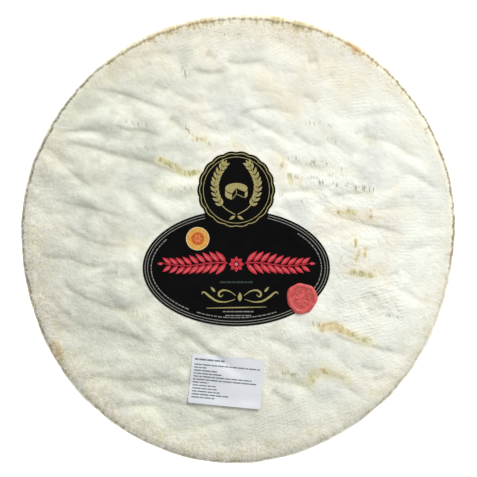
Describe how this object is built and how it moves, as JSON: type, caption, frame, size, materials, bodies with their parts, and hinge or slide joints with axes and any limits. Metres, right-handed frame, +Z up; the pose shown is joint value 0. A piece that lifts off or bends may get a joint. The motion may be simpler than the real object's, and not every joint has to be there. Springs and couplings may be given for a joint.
{
  "type": "brie wheel",
  "caption": "Whole wheel of soft cheese with a wrinkled white bloomy rind, a draped oval paper label with a round crest, a wax seal and a small paper sticker.",
  "frame": {"origin": "middle of the flat base, under the centre of the wheel's box", "axes": "+Z up out of the wrinkled top, +Y towards the label's crest, +X to the label's right seen from above"},
  "size_m": [0.3584, 0.3706, 0.0285],
  "materials": {
    "rind": "matte, velvety white mould with faint grey-green and cream, ochre where it is rubbed",
    "label_paper": "black coated paper, printed in dull gold, red and amber",
    "wax": "red sealing wax, semi-gloss",
    "sticker_paper": "cool white coated paper, printed in grey"
  },
  "bodies": {
    "root": {"cheese_wheel": "rind", "oval_label": "label_paper", "wax_seal": "wax", "paper_sticker": "sticker_paper"}
  },
  "joints": []
}
